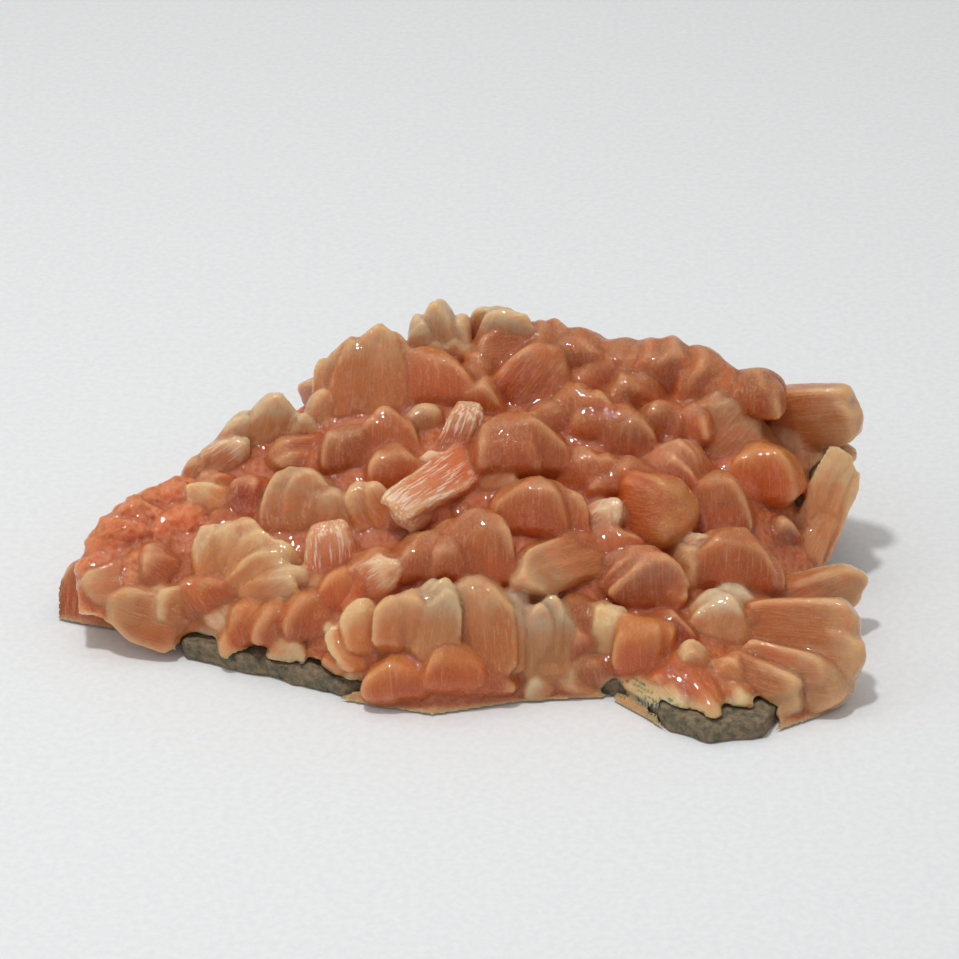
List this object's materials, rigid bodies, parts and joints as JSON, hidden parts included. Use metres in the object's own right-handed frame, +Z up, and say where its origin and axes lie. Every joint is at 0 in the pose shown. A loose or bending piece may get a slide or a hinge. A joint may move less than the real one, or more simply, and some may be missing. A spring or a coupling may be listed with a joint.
{
  "type": "stilbite specimen",
  "caption": "Mineral specimen: a mound of overgrown peach and orange stilbite blades on a thin slab of grey-brown matrix rock, flat underneath so that it stands.",
  "frame": {"origin": "on the flat underside of the matrix rock, in the middle of the specimen", "axes": "+Z up, -Y towards the long low front of the crust, +X to the right along its length"},
  "size_m": [0.1313, 0.0867, 0.0437],
  "materials": {
    "stilbite": "waxy, faintly see-through blades with a glassy to pearly gloss and fine lengthwise lines",
    "matrix_rock": "matt broken rock"
  },
  "bodies": {
    "root": {"stilbite_cluster": "stilbite", "matrix": "matrix_rock"}
  },
  "joints": []
}
